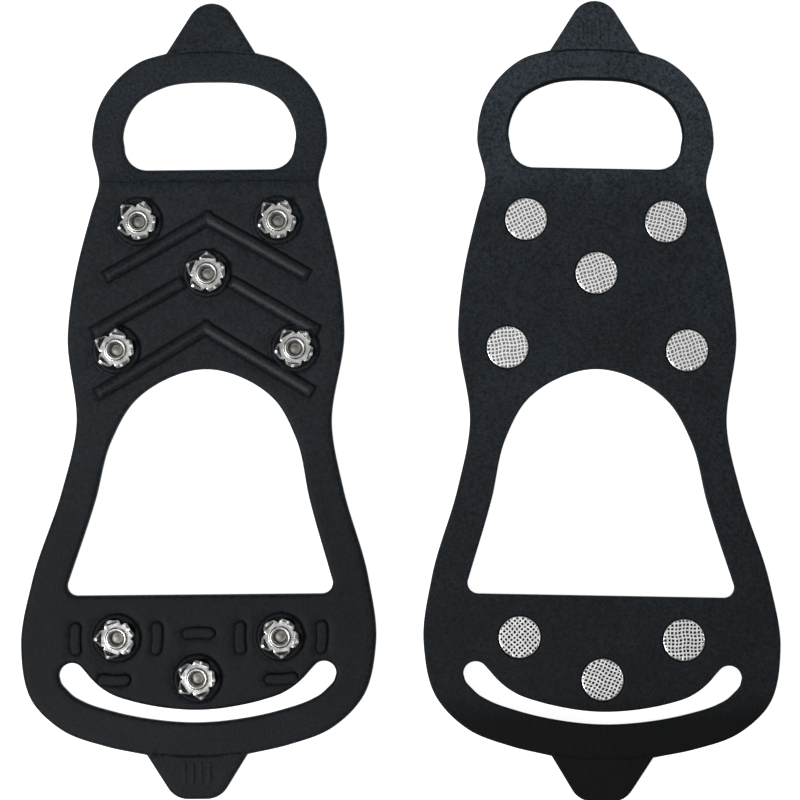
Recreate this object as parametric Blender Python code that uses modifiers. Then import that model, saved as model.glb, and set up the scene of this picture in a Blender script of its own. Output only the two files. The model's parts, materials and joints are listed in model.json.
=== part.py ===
"""A pair of overshoe ice cleats: stretch rubber soles that carry riveted star studs.

The left cleat lies on its shoe face with the studs up, and the right one stands on its studs.
Both soles have one shape. It is drawn in the sole's own frame: the shoe face on z = 0, the tread
side towards +Z and the toe towards +Y. Each sole is cut at its fold lines into sections, and each
section hangs on an empty that lies on its fold axis.
"""
import math

import bmesh
import bpy
from mathutils import Matrix, Vector
from mathutils.geometry import interpolate_bezier

MM = 0.001

# Thickness of the rubber, in millimetres, as all the sizes below.
SHEET = 3.0
BAND = 2.6
TAB = 2.2

# Fold lines between the sections, at these heights along the sole.
TOE_TAB_FOLD = 100.5
TOE_BAND_FOLD = 72.3
ARCH_FOLD = -13.2
HEEL_BAND_FOLD = -79.0
HEEL_TAB_FOLD = -102.2
FOLD_GAP = 0.4

# The sole leans and bends a little to one side along its length, as the shoe above it does;
# behind the last line it runs straight back.
LEAN = 0.0311
BEND = -0.000045
LEAN_END = -88.0

# Outer edge from the toe tab to the heel tab, for the half at +X before the lean.
OUTER_EDGE = (
    (12.9, 100.5), (20.4, 98.2), (27.8, 92.2), (31.7, 86.2), (34.0, 75.1), (31.8, 62.3),
    (33.9, 54.5), (38.5, 34.4), (40.0, 19.7), (37.0, -7.9), (40.7, -25.7), (48.6, -51.5),
    (51.3, -70.6), (47.8, -86.2), (38.9, -94.9), (26.5, -99.6), (14.6, -102.2),
)

# Edges of the openings, for the half at +X before the lean.
TOE_OPENING_EDGE = ((0.0, 92.0), (13.9, 90.4), (20.8, 86.4), (24.2, 80.4), (24.9, 76.0), (24.5, 73.5))
TOE_OPENING_CORNER = {"centre": (17.8, 73.5), "radius": 6.7, "start": 0.0, "stop": -90.0}
ARCH_EDGE = ((0.0, 9.1), (12.1, 5.9), (20.0, 0.3), (26.7, -11.3), (30.9, -28.5), (38.2, -52.2))
ARCH_CORNER = {"centre": (35.3, -52.9), "radius": 3.0, "start": 13.0, "stop": -90.0}
SLOT_END = {"centre": (36.4, -79.0), "radius": 3.6, "start": 4.0, "stop": 127.0}
SLOT_INNER_EDGE = (
    (34.2, -76.1), (32.6, -77.9), (30.9, -79.9), (28.2, -82.4),
    (24.9, -84.5), (18.9, -86.6), (12.8, -88.0), (0.0, -89.3),
)
SLOT_OUTER_EDGE = (
    (40.0, -79.0), (39.3, -81.3), (37.8, -83.0), (35.8, -84.9),
    (32.8, -86.6), (24.6, -89.4), (12.6, -91.9), (0.0, -92.9),
)

# Rounded ends of the two tabs.
TOE_TAB_TIP = {"centre": (0.0, 107.9), "radius": 7.0, "start": 90.0, "stop": 34.0}
HEEL_TAB_TIP = {"centre": (2.7, -108.2), "radius": 6.9, "start": -32.0, "stop": -90.0}

# Studs before the lean, as seen from the tread side of the left sole.
FOREFOOT_STUDS = {
    "front_outer": (-20.1, 51.9),
    "front_inner": (20.1, 51.9),
    "front_middle": (0.0, 36.8),
    "ball_outer": (-25.8, 15.0),
    "ball_inner": (25.8, 15.0),
}
HEEL_STUDS = {
    "heel_outer": (-23.6, -68.2),
    "heel_inner": (23.6, -68.2),
    "heel_middle": (0.0, -80.0),
}

# A stud is a knurled rivet through the rubber that holds a crown of teeth on a boss.
CLEARANCE = 0.3
BOSS_RADIUS = 6.8
BOSS_TOP = 4.2
HEAD_RADIUS = 6.0
HEAD_SUNK = 0.2
HEAD_TOP = 1.2
HEAD_CHAMFER = 0.2
SHANK_RADIUS = 2.3
BORE_RADIUS = 1.8
BORE_FLOOR = 3.9
PLATE_THICKNESS = 0.8
LIP_RADIUS = 3.1
LIP_THICKNESS = 0.4
TEETH = 5
TOOTH_BASE = 4.4
TOOTH_HALF_WIDTH = 1.8
TOOTH_TIP_RADIUS = 4.9
TOOTH_TIP_HALF_WIDTH = 0.2
NOTCH_RADIUS = 4.1
STUD_TOP = 8.2
PLATE_MIDDLE = BOSS_TOP + CLEARANCE + PLATE_THICKNESS / 2
LIP_BOTTOM = PLATE_MIDDLE + PLATE_THICKNESS / 2 + CLEARANCE

# Grip relief on the tread side.
RIB_WIDTH = 3.6
RIB_HEIGHT = 1.2
RIB_ROOT = 0.6
CHEVRONS = (
    ((0.0, 52.6), (29.4, 35.9)),
    ((6.6, 34.6), (32.6, 19.7)),
    ((0.0, 21.0), (31.3, 2.1)),
)
BLOCK_LENGTH = 9.6
BLOCK_WIDTH = 3.2
BLOCK_HEIGHT = 0.7
UPRIGHT_BLOCKS = ((-35.6, -68.4), (-12.0, -68.4), (12.0, -68.4), (35.6, -68.4))
LEVEL_BLOCKS = ((0.0, -67.0), (-24.1, -80.4), (24.1, -80.4))

# How the two cleats lie, and how far each crown is turned on its rivet, in degrees.
HALF_SPACING = 56.67
LEFT_YAW = 0.53
RIGHT_YAW = -1.02
LEFT_CROWN_TURNS = {
    "front_outer": 63.5, "front_inner": 59.0, "front_middle": 13.0, "ball_outer": 9.0,
    "ball_inner": 49.0, "heel_outer": 34.0, "heel_inner": 61.0, "heel_middle": 0.0,
}
RIGHT_CROWN_TURNS = {
    "front_outer": 20.0, "front_inner": 41.0, "front_middle": 5.0, "ball_outer": 66.0,
    "ball_inner": 30.0, "heel_outer": 52.0, "heel_inner": 12.0, "heel_middle": 36.0,
}
PAIR_SHIFT = (0.305, 0.135)

# How finely the curves are divided, and how far a cutter reaches past the face it cuts.
CURVE_STEPS = 4
ARC_STEP = 15.0
RIVET_SIDES = 24
BOSS_SIDES = 24
HEAD_SEAT_SIDES = 24
SHANK_HOLE_SIDES = 18
CUTTER_REACH = 1.0
WELD_DISTANCE = 0.00001
SHARP_ANGLE = math.radians(35.0)

RUBBER = (0.016, 0.018, 0.020)
RIVET_STEEL = (0.62, 0.62, 0.63)
CROWN_STEEL = (0.72, 0.72, 0.73)


def clear_scene():
    for old in list(bpy.data.objects):
        bpy.data.objects.remove(old, do_unlink=True)


def new_collection(name):
    group = bpy.data.collections.new(name)
    bpy.context.scene.collection.children.link(group)
    return group


def new_material(name, colour, roughness, metallic):
    material = bpy.data.materials.new(name)
    material.use_nodes = True
    shader = material.node_tree.nodes["Principled BSDF"]
    shader.inputs["Base Color"].default_value = (*colour, 1.0)
    shader.inputs["Roughness"].default_value = roughness
    shader.inputs["Metallic"].default_value = metallic
    return material


# ---------------------------------------------------------------- outlines, in millimetres

def leaned(point):
    """A point of the upright shape, shifted sideways by the lean and bend of the sole."""
    x, y = point
    reach = max(y, LEAN_END)
    return Vector((x + LEAN * reach + BEND * reach * reach, y))


def end_slope(rate, knot):
    """An edge that starts or ends on the centre line meets it squarely."""
    if abs(knot.x) < 1e-6:
        return Vector((math.copysign(1.0, rate.x), 0.0))
    return rate


def smooth(points):
    """A smooth line through the points, its slopes weighted by the neighbouring chords."""
    knots = [Vector(point) for point in points]
    chords = [(b - a).length for a, b in zip(knots, knots[1:])]
    rates = [(b - a) / chord for a, b, chord in zip(knots, knots[1:], chords)]
    slopes = [end_slope(rates[0], knots[0])]
    for i in range(1, len(rates)):
        blend = rates[i - 1] * chords[i] + rates[i] * chords[i - 1]
        slopes.append(blend / (chords[i - 1] + chords[i]))
    slopes.append(end_slope(rates[-1], knots[-1]))
    line = []
    for i, chord in enumerate(chords):
        leave = knots[i] + slopes[i] * chord / 3
        arrive = knots[i + 1] - slopes[i + 1] * chord / 3
        line += interpolate_bezier(knots[i], leave, arrive, knots[i + 1], CURVE_STEPS + 1)[:-1]
    return line + [knots[-1]]


def arc(centre, radius, start, stop):
    """Points along an arc, both ends included; the angles are in degrees."""
    steps = max(1, round(abs(stop - start) / ARC_STEP))
    angles = [math.radians(start + (stop - start) * i / steps) for i in range(steps + 1)]
    return [Vector(centre) + radius * Vector((math.cos(a), math.sin(a))) for a in angles]


def point_at(line, height):
    """Where a line first passes a height."""
    for a, b in zip(line, line[1:]):
        if min(a.y, b.y) <= height <= max(a.y, b.y) and a.y != b.y:
            return a.lerp(b, (height - a.y) / (b.y - a.y))
    raise ValueError("the line does not reach that height")


def stretch(line, y_from, y_to):
    """The part of a line between two heights, in the order y_from to y_to."""
    low, high = sorted((y_from, y_to))
    inner = [point for point in line if low < point.y < high]
    if (line[0].y > line[-1].y) != (y_from > y_to):
        inner.reverse()
    return [point_at(line, y_from)] + inner + [point_at(line, y_to)]


def mirrored(half):
    """The closed outline of a half that starts and ends on the centre line."""
    other = [Vector((-point.x, point.y)) for point in reversed(half) if abs(point.x) > 1e-6]
    return half + other


def on_centre(height):
    return [Vector((0.0, height))]


def section_outlines():
    outer = smooth(OUTER_EDGE)
    toe_opening = smooth(TOE_OPENING_EDGE)[:-1] + arc(**TOE_OPENING_CORNER)
    arch = smooth(ARCH_EDGE)
    arch_corner = arc(**ARCH_CORNER)
    slot_inner = smooth(SLOT_INNER_EDGE)
    slot_outer = smooth(SLOT_OUTER_EDGE)
    half_gap = FOLD_GAP / 2

    def above(fold):
        return fold + half_gap

    def below(fold):
        return fold - half_gap

    toe_tab_root = Vector((OUTER_EDGE[0][0], above(TOE_TAB_FOLD)))
    heel_tab_root = Vector((OUTER_EDGE[-1][0], below(HEEL_TAB_FOLD)))
    return {
        "toe_tab": arc(**TOE_TAB_TIP) + [toe_tab_root] + on_centre(toe_tab_root.y),
        "toe_band": (
            on_centre(below(TOE_TAB_FOLD))
            + stretch(outer, below(TOE_TAB_FOLD), above(TOE_BAND_FOLD))
            + stretch(toe_opening, above(TOE_BAND_FOLD), toe_opening[0].y)
        ),
        "forefoot": (
            on_centre(toe_opening[-1].y)
            + stretch(toe_opening, toe_opening[-1].y, below(TOE_BAND_FOLD))
            + stretch(outer, below(TOE_BAND_FOLD), above(ARCH_FOLD))
            + stretch(arch, above(ARCH_FOLD), arch[0].y)
        ),
        "heel": (
            on_centre(arch_corner[-1].y)
            + list(reversed(arch_corner))
            + stretch(arch, arch[-1].y, below(ARCH_FOLD))[1:]
            + stretch(outer, below(ARCH_FOLD), above(HEEL_BAND_FOLD))
            + arc(**SLOT_END)
            + slot_inner[1:]
        ),
        "heel_band": (
            list(reversed(stretch(slot_outer, below(HEEL_BAND_FOLD), slot_outer[-1].y)))
            + stretch(outer, below(HEEL_BAND_FOLD), above(HEEL_TAB_FOLD))
            + on_centre(above(HEEL_TAB_FOLD))
        ),
        "heel_tab": (
            on_centre(heel_tab_root.y)
            + [heel_tab_root]
            + arc(**HEEL_TAB_TIP)
            + on_centre(HEEL_TAB_TIP["centre"][1] - HEEL_TAB_TIP["radius"])
        ),
    }


def chevron_outlines():
    """Each chevron is one V, or two bars where its middle is missing."""
    outlines = []
    for start, stop in CHEVRONS:
        start, stop = Vector(start), Vector(stop)
        along = (stop - start).normalized()
        across = Vector((-along.y, along.x)) * RIB_WIDTH / 2
        if start.x == 0.0:
            rise = Vector((0.0, across.length / along.x))
            half = [start + rise, stop + across, stop - across, start - rise]
            outlines.append(mirrored(half))
        else:
            bar = [start + across, stop + across, stop - across, start - across]
            outlines.append(bar)
            outlines.append([Vector((-point.x, point.y)) for point in bar])
    return outlines


def block_outline(centre, upright):
    """A bar with round ends."""
    radius = BLOCK_WIDTH / 2
    reach = BLOCK_LENGTH / 2 - radius
    away = Vector((0.0, reach)) if upright else Vector((reach, 0.0))
    facing = 0.0 if upright else -90.0
    centre = Vector(centre)
    one = arc(centre + away, radius, facing, facing + 180.0)
    other = arc(centre - away, radius, facing + 180.0, facing + 360.0)
    return one + other


# ---------------------------------------------------------------- solids

def evaluated_mesh(piece):
    bpy.context.view_layer.update()
    depsgraph = bpy.context.evaluated_depsgraph_get()
    return bpy.data.meshes.new_from_object(piece.evaluated_get(depsgraph))


def weld(mesh):
    work = bmesh.new()
    work.from_mesh(mesh)
    bmesh.ops.remove_doubles(work, verts=work.verts, dist=WELD_DISTANCE)
    work.to_mesh(mesh)
    work.free()


def extruded(name, outlines, z_low, z_high, group):
    """A mesh object: flat outlines of the upright shape, leaned and thickened between two heights."""
    curve = bpy.data.curves.new(name, "CURVE")
    curve.dimensions = "2D"
    curve.fill_mode = "BOTH"
    curve.extrude = (z_high - z_low) / 2 * MM
    for outline in outlines:
        spline = curve.splines.new("POLY")
        spline.points.add(len(outline) - 1)
        for target, point in zip(spline.points, outline):
            x, y = leaned(point) * MM
            target.co = (x, y, 0.0, 1.0)
        spline.use_cyclic_u = True
    flat = bpy.data.objects.new(name + "_outline", curve)
    flat.location.z = (z_low + z_high) / 2 * MM
    group.objects.link(flat)
    mesh = evaluated_mesh(flat)
    weld(mesh)
    solid = bpy.data.objects.new(name, mesh)
    solid.matrix_world = flat.matrix_world.copy()
    group.objects.link(solid)
    bpy.data.objects.remove(flat, do_unlink=True)
    return solid


def turned(name, profile, steps, group):
    """A profile of (radius, height) pairs, outer side from top to bottom, turned about Z."""
    mesh = bpy.data.meshes.new(name + "_profile")
    points = [(radius * MM, 0.0, height * MM) for radius, height in profile]
    edges = [(i, i + 1) for i in range(len(points) - 1)]
    mesh.from_pydata(points, edges, [])
    piece = bpy.data.objects.new(name, mesh)
    group.objects.link(piece)
    screw = piece.modifiers.new("turn", "SCREW")
    screw.axis = "Z"
    screw.angle = math.tau
    screw.steps = steps
    screw.render_steps = steps
    screw.use_merge_vertices = True
    screw.merge_threshold = WELD_DISTANCE
    return piece


def cylinders(name, centres, radius, z_low, z_high, sides, group):
    """Upright cylinders in one object, one at each leaned centre."""
    work = bmesh.new()
    for centre in centres:
        middle = Vector((*leaned(centre), (z_low + z_high) / 2)) * MM
        bmesh.ops.create_cone(
            work, cap_ends=True, segments=sides, radius1=radius * MM, radius2=radius * MM,
            depth=(z_high - z_low) * MM, matrix=Matrix.Translation(middle))
    mesh = bpy.data.meshes.new(name)
    work.to_mesh(mesh)
    work.free()
    solid = bpy.data.objects.new(name, mesh)
    group.objects.link(solid)
    return solid


def combine(piece, tool, operation):
    """Join the tool to the piece, or cut it away, and keep the result as the piece's mesh."""
    tool.hide_render = True
    tool.display_type = "WIRE"
    change = piece.modifiers.new(operation.lower(), "BOOLEAN")
    change.operation = operation
    change.solver = "EXACT"
    change.object = tool
    mesh = evaluated_mesh(piece)
    piece.modifiers.remove(change)
    piece.data = mesh
    bpy.data.objects.remove(tool, do_unlink=True)


def add_stud_seats(section, studs, tools):
    """A boss under each crown, a seat for each head and a hole for each shank."""
    centres = list(studs.values())
    bosses = cylinders("bosses", centres, BOSS_RADIUS, SHEET - RIB_ROOT, BOSS_TOP, BOSS_SIDES, tools)
    combine(section, bosses, "UNION")
    seat_radius = HEAD_RADIUS + CLEARANCE
    seat_top = HEAD_TOP + CLEARANCE
    seats = cylinders("seats", centres, seat_radius, -CUTTER_REACH, seat_top, HEAD_SEAT_SIDES, tools)
    combine(section, seats, "DIFFERENCE")
    hole_radius = SHANK_RADIUS + CLEARANCE
    hole_top = BOSS_TOP + CUTTER_REACH
    holes = cylinders("holes", centres, hole_radius, 0.0, hole_top, SHANK_HOLE_SIDES, tools)
    combine(section, holes, "DIFFERENCE")


def section_meshes(tools):
    """The rubber sections, in the sole's frame."""
    outlines = {name: mirrored(half) for name, half in section_outlines().items()}
    thickness = {"toe_tab": TAB, "toe_band": BAND, "heel_band": BAND, "heel_tab": TAB}
    sections = {}
    for name, outline in outlines.items():
        sections[name] = extruded(name, [outline], 0.0, thickness.get(name, SHEET), tools)
    relief_low = SHEET - RIB_ROOT
    forefoot = sections["forefoot"]
    add_stud_seats(forefoot, FOREFOOT_STUDS, tools)
    ribs = extruded("ribs", chevron_outlines(), relief_low, SHEET + RIB_HEIGHT, tools)
    combine(forefoot, ribs, "UNION")
    heel = sections["heel"]
    add_stud_seats(heel, HEEL_STUDS, tools)
    block_shapes = [block_outline(centre, True) for centre in UPRIGHT_BLOCKS]
    block_shapes += [block_outline(centre, False) for centre in LEVEL_BLOCKS]
    blocks = extruded("blocks", block_shapes, relief_low, SHEET + BLOCK_HEIGHT, tools)
    combine(heel, blocks, "UNION")
    meshes = {}
    for name, section in sections.items():
        mesh = evaluated_mesh(section)
        mesh.transform(section.matrix_world)
        mesh.name = name
        meshes[name] = mesh
        bpy.data.objects.remove(section, do_unlink=True)
    return meshes


def rivet_mesh(tools):
    """A knurled-head rivet with a hollow shank, its end flared over the crown."""
    profile = (
        (0.0, BORE_FLOOR),
        (BORE_RADIUS, BORE_FLOOR),
        (BORE_RADIUS, LIP_BOTTOM + LIP_THICKNESS),
        (LIP_RADIUS, LIP_BOTTOM + LIP_THICKNESS / 2),
        (LIP_RADIUS, LIP_BOTTOM),
        (SHANK_RADIUS, LIP_BOTTOM),
        (SHANK_RADIUS, HEAD_TOP),
        (HEAD_RADIUS, HEAD_TOP),
        (HEAD_RADIUS, HEAD_SUNK + HEAD_CHAMFER),
        (HEAD_RADIUS - HEAD_CHAMFER, HEAD_SUNK),
        (0.0, HEAD_SUNK),
    )
    piece = turned("rivet", profile, RIVET_SIDES, tools)
    mesh = evaluated_mesh(piece)
    bpy.data.objects.remove(piece, do_unlink=True)
    return mesh


def crown_mesh(tools):
    """A ring of sheet metal whose rim is bent up into teeth, drawn as its middle surface."""
    hole_radius = SHANK_RADIUS + CLEARANCE
    base_turn = math.atan2(TOOTH_HALF_WIDTH, TOOTH_BASE)
    half_pitch = math.pi / TEETH
    work = bmesh.new()

    def vertex(x, y, z, turn):
        spot = Matrix.Rotation(turn, 3, "Z") @ Vector((x, y, z))
        return work.verts.new(spot * MM)

    for tooth in range(TEETH):
        turn = tooth * math.tau / TEETH
        inner = []
        for offset in (-half_pitch, -base_turn, 0.0, base_turn, half_pitch):
            inner.append(vertex(hole_radius, 0.0, PLATE_MIDDLE, turn + offset))
        rim = [
            vertex(NOTCH_RADIUS, 0.0, PLATE_MIDDLE, turn - half_pitch),
            vertex(TOOTH_BASE, -TOOTH_HALF_WIDTH, PLATE_MIDDLE, turn),
            vertex(TOOTH_BASE, 0.0, PLATE_MIDDLE, turn),
            vertex(TOOTH_BASE, TOOTH_HALF_WIDTH, PLATE_MIDDLE, turn),
            vertex(NOTCH_RADIUS, 0.0, PLATE_MIDDLE, turn + half_pitch),
        ]
        for i in range(len(rim) - 1):
            work.faces.new((inner[i], rim[i], rim[i + 1], inner[i + 1]))
        tip_low = vertex(TOOTH_TIP_RADIUS, -TOOTH_TIP_HALF_WIDTH, STUD_TOP, turn)
        tip_high = vertex(TOOTH_TIP_RADIUS, TOOTH_TIP_HALF_WIDTH, STUD_TOP, turn)
        work.faces.new((rim[1], tip_low, tip_high, rim[3], rim[2]))
    bmesh.ops.remove_doubles(work, verts=work.verts, dist=WELD_DISTANCE)
    sheet = bpy.data.meshes.new("crown_sheet")
    work.to_mesh(sheet)
    work.free()
    piece = bpy.data.objects.new("crown", sheet)
    tools.objects.link(piece)
    plate = piece.modifiers.new("plate", "SOLIDIFY")
    plate.thickness = PLATE_THICKNESS * MM
    plate.offset = 0.0
    plate.use_even_offset = True
    mesh = evaluated_mesh(piece)
    bpy.data.objects.remove(piece, do_unlink=True)
    return mesh


# ---------------------------------------------------------------- assembly

def place(name, mesh, material, parent, spot, group, turn=0.0):
    """A named part at a spot in its parent's frame, in millimetres."""
    mesh.materials.clear()
    mesh.materials.append(material)
    part = bpy.data.objects.new(name, mesh)
    part.parent = parent
    part.location = Vector(spot) * MM
    part.rotation_euler.z = turn
    group.objects.link(part)
    return part


def fold_axis(name, parent, spot, group):
    """An empty on a fold line, which carries the section beyond it."""
    axis = bpy.data.objects.new(name, None)
    axis.empty_display_type = "ARROWS"
    axis.empty_display_size = 0.01
    axis.parent = parent
    axis.location = Vector(spot) * MM
    group.objects.link(axis)
    return axis


def shaded(mesh):
    mesh.shade_smooth()
    mesh.set_sharp_from_angle(angle=SHARP_ANGLE)
    return mesh


def build_cleat(side, frame, fold_z, turns, meshes, materials, group):
    """One cleat: a chain of sections that fold about axes at the height fold_z."""
    folds = {
        "toe_band": ("forefoot", TOE_BAND_FOLD),
        "toe_tab": ("toe_band", TOE_TAB_FOLD),
        "heel": ("forefoot", ARCH_FOLD),
        "heel_band": ("heel", HEEL_BAND_FOLD),
        "heel_tab": ("heel_band", HEEL_TAB_FOLD),
    }
    carriers = {"forefoot": (frame, 0.0, 0.0)}
    place(side + "_forefoot", meshes["forefoot"], materials["forefoot"], frame, (0.0, 0.0, 0.0), group)
    for name, (inner, fold_y) in folds.items():
        parent, parent_y, parent_z = carriers[inner]
        spot = (0.0, fold_y - parent_y, fold_z - parent_z)
        axis = fold_axis(f"{side}_{name}_axis", parent, spot, group)
        carriers[name] = (axis, fold_y, fold_z)
        place(f"{side}_{name}", meshes[name], materials[name], axis, (0.0, -fold_y, -fold_z), group)
    for section, studs in (("forefoot", FOREFOOT_STUDS), ("heel", HEEL_STUDS)):
        carrier, carrier_y, carrier_z = carriers[section]
        for name, centre in studs.items():
            x, y = leaned(centre)
            spot = (x, y - carrier_y, -carrier_z)
            place(f"{side}_rivet_{name}", meshes["rivet"], materials["rivet"], carrier, spot, group)
            turn = math.radians(turns[name])
            place(f"{side}_crown_{name}", meshes["crown"], materials["crown"], carrier, spot, group, turn)


def top_of(mesh):
    return max(vertex.co.z for vertex in mesh.vertices) / MM


def cleat_frame(name, x, height, flip, yaw, group):
    frame = fold_axis(name, None, (x + PAIR_SHIFT[0], PAIR_SHIFT[1], height), group)
    frame.rotation_euler = (0.0, flip, math.radians(yaw))
    return frame


def main():
    clear_scene()
    parts = new_collection("shoe_ice_cleats")
    tools = new_collection("cutters")
    meshes = section_meshes(tools)
    meshes["rivet"] = shaded(rivet_mesh(tools))
    meshes["crown"] = crown_mesh(tools)
    materials = {name: new_material(name + "_rubber", RUBBER, 0.62, 0.0) for name in section_outlines()}
    materials["rivet"] = new_material("rivet_steel", RIVET_STEEL, 0.32, 1.0)
    materials["crown"] = new_material("crown_steel", CROWN_STEEL, 0.22, 1.0)
    left = cleat_frame("left_cleat", -HALF_SPACING, 0.0, 0.0, LEFT_YAW, parts)
    build_cleat("left", left, SHEET, LEFT_CROWN_TURNS, meshes, materials, parts)
    right = cleat_frame("right_cleat", HALF_SPACING, top_of(meshes["crown"]), math.pi, RIGHT_YAW, parts)
    build_cleat("right", right, 0.0, RIGHT_CROWN_TURNS, meshes, materials, parts)


main()
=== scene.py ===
"""Looks for the pair of shoe ice cleats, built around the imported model."""
import json
import math

import bmesh
import bpy
import numpy as np
from mathutils import Matrix, Vector
from mathutils.geometry import delaunay_2d_cdt


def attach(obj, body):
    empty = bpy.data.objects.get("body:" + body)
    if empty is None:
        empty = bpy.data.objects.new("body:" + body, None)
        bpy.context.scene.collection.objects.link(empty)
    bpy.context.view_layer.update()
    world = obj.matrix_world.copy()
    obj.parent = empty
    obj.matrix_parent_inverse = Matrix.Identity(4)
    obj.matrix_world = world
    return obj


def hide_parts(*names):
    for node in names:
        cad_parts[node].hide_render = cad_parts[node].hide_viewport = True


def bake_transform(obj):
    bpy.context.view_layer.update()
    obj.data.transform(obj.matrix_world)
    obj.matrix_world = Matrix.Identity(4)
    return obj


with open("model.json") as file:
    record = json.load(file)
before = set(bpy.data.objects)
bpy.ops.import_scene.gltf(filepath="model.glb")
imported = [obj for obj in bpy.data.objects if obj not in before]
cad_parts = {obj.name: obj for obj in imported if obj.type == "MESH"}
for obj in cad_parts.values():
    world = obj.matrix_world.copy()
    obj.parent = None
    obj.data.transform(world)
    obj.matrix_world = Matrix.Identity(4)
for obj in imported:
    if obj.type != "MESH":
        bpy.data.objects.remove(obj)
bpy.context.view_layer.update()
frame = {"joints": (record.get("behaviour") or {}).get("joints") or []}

MM = 0.001

# -------- sizes, in millimetres
# All are in the sole's own frame: the shoe face on z = 0, the tread side towards +Z, the toe towards +Y.
SHEET = 3.0
BAND = 2.6
TAB = 2.2
TOE_TAB_FOLD = 100.5
TOE_BAND_FOLD = 72.3
ARCH_FOLD = -13.2
HEEL_BAND_FOLD = -79.0
HEEL_TAB_FOLD = -102.2
FOLDS = (TOE_TAB_FOLD, TOE_BAND_FOLD, ARCH_FOLD, HEEL_BAND_FOLD, HEEL_TAB_FOLD)
LEAN = 0.0311
BEND = -0.000045
LEAN_END = -88.0

OUTER_EDGE = (
    (12.9, 100.5), (20.4, 98.2), (27.8, 92.2), (31.7, 86.2), (34.0, 75.1), (31.8, 62.3),
    (33.9, 54.5), (38.5, 34.4), (40.0, 19.7), (37.0, -7.9), (40.7, -25.7), (48.6, -51.5),
    (51.3, -70.6), (47.8, -86.2), (38.9, -94.9), (26.5, -99.6), (14.6, -102.2),
)
TOE_OPENING_EDGE = ((0.0, 92.0), (13.9, 90.4), (20.8, 86.4), (24.2, 80.4), (24.9, 76.0), (24.5, 73.5))
TOE_OPENING_CORNER = {"centre": (17.8, 73.5), "radius": 6.7, "start": 0.0, "stop": -90.0}
ARCH_EDGE = ((0.0, 9.1), (12.1, 5.9), (20.0, 0.3), (26.7, -11.3), (30.9, -28.5), (38.2, -52.2))
ARCH_CORNER = {"centre": (35.3, -52.9), "radius": 3.0, "start": 13.0, "stop": -90.0}
SLOT_END = {"centre": (36.4, -79.0), "radius": 3.6, "start": 0.0, "stop": 127.0}
SLOT_INNER_EDGE = (
    (34.2, -76.1), (32.6, -77.9), (30.9, -79.9), (28.2, -82.4),
    (24.9, -84.5), (18.9, -86.6), (12.8, -88.0), (0.0, -89.3),
)
SLOT_OUTER_EDGE = (
    (40.0, -79.0), (39.3, -81.3), (37.8, -83.0), (35.8, -84.9),
    (32.8, -86.6), (24.6, -89.4), (12.6, -91.9), (0.0, -92.9),
)
TOE_TAB_TIP = {"centre": (0.0, 107.9), "radius": 7.0, "start": 90.0, "stop": 34.0}
HEEL_TAB_TIP = {"centre": (2.7, -108.2), "radius": 6.9, "start": -32.0, "stop": -90.0}

FOREFOOT_STUDS = {
    "front_outer": (-20.1, 51.9), "front_inner": (20.1, 51.9), "front_middle": (0.0, 36.8),
    "ball_outer": (-25.8, 15.0), "ball_inner": (25.8, 15.0),
}
HEEL_STUDS = {"heel_outer": (-23.6, -68.2), "heel_inner": (23.6, -68.2), "heel_middle": (0.0, -80.0)}
STUDS = {**FOREFOOT_STUDS, **HEEL_STUDS}

CHEVRONS = (
    ((0.0, 52.6), (29.4, 35.9)),
    ((6.6, 34.6), (32.6, 19.7)),
    ((0.0, 21.0), (31.3, 2.1)),
)
RIB_HALF_WIDTH = 1.8
RIB_HEIGHT = 1.2
BLOCKS = {
    (-35.6, -68.4): "heel_outer", (-12.0, -68.4): "heel_outer", (-24.1, -80.4): "heel_outer",
    (12.0, -68.4): "heel_inner", (35.6, -68.4): "heel_inner", (24.1, -80.4): "heel_inner",
    (0.0, -67.0): "heel_middle",
}
BLOCK_LENGTH = 9.6
BLOCK_HALF_WIDTH = 1.6
BLOCK_HEIGHT = 0.6
BLOCK_BEND_RADIUS = 21.0

BOSS_TOP = 4.2
BOSS_RADIUS = 6.85
BOSS_ROUNDING = 0.75
BOSS_ROUNDING_DROP = 0.7
BOSS_FILLET = 0.45
HOLE_RADIUS = 2.6
SEAT_RADIUS = 6.3
SEAT_DEPTH = 1.5
HEAD_RADIUS = 6.1
HEAD_SUNK = 0.2
HEAD_TOP = 1.2
SHANK_RADIUS = 2.3
TOP_RIM = 1.0
SOLE_RIM = 0.5
STEP_LINE = 63.4
HEEL_THINNING = (74.0, 82.0)
FURROW = 0.12

# How far each crown and each rivet's knurling is turned, in degrees.
CROWN_TURNS = {
    "left": {
        "front_outer": 63.5, "front_inner": 59.0, "front_middle": 13.0, "ball_outer": 9.0,
        "ball_inner": 49.0, "heel_outer": 34.0, "heel_inner": 61.0, "heel_middle": 0.0,
    },
    "right": {
        "front_outer": 20.0, "front_inner": 41.0, "front_middle": 5.0, "ball_outer": 66.0,
        "ball_inner": 30.0, "heel_outer": 52.0, "heel_inner": 12.0, "heel_middle": 36.0,
    },
}
KNURL_TURNS = {
    "front_outer": 15.0, "front_inner": -28.0, "front_middle": -20.0, "ball_outer": -20.0,
    "ball_inner": -8.0, "heel_outer": -3.0, "heel_inner": -45.0, "heel_middle": 25.0,
}

# How finely the surfaces are sampled.
EDGE_STEP = 0.7
RIM_RINGS = (0.08, 0.3, 0.62, 1.0, 1.4)
RIB_RINGS = (0.0, 0.45, 0.85, 1.2, 1.45, 1.63, 1.75, 1.84, 1.95, 2.1, 2.3, 2.55)
BLOCK_RINGS = (0.0, 0.5, 0.95, 1.2, 1.4, 1.53, 1.6, 1.72, 1.9, 2.1, 2.35)


# -------- outlines

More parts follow.
